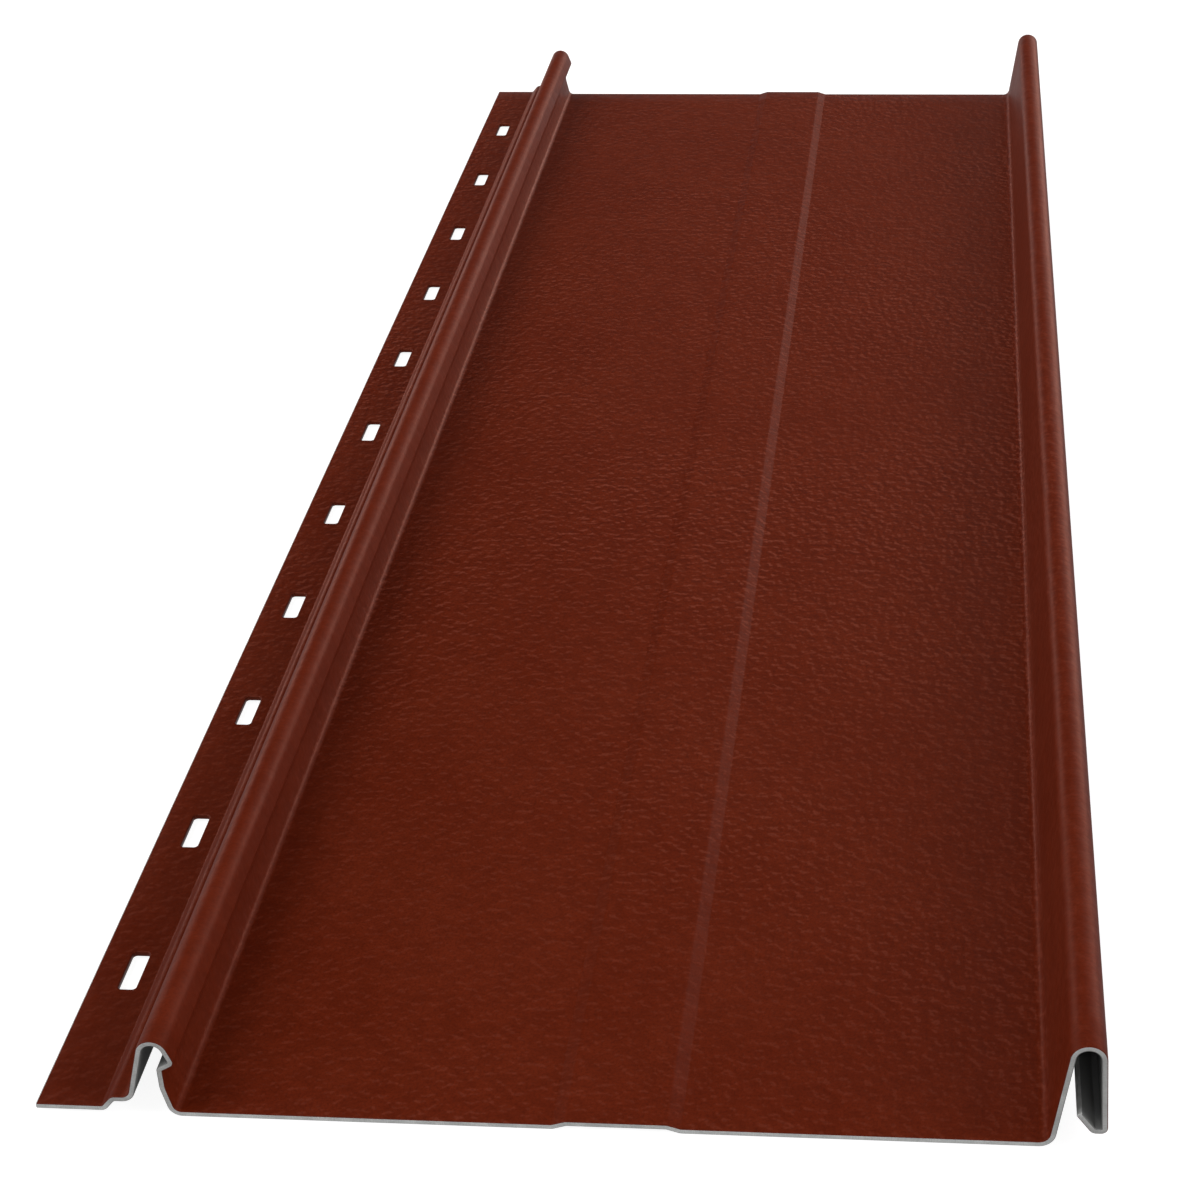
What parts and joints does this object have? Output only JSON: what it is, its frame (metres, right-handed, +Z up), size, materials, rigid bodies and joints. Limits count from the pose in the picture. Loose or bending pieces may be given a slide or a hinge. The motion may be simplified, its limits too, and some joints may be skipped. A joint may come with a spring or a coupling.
{
  "type": "snap-lock roof panel",
  "caption": "Roll-formed snap-lock standing seam roof panel with a slotted fastening flange, a male rib, a female rib and a raised band along its pan.",
  "frame": {"origin": "on the plane that the pan lies on, under the middle of the panel's length and width", "axes": "+Y along the panel's length, +X across it from the fastening flange to the female rib, +Z up, out of the weather side"},
  "size_m": [0.3552, 1, 0.0423],
  "materials": {
    "painted_sheet": "matt, finely wrinkled coating"
  },
  "bodies": {
    "root": {"roof_panel": "painted_sheet"}
  },
  "joints": []
}
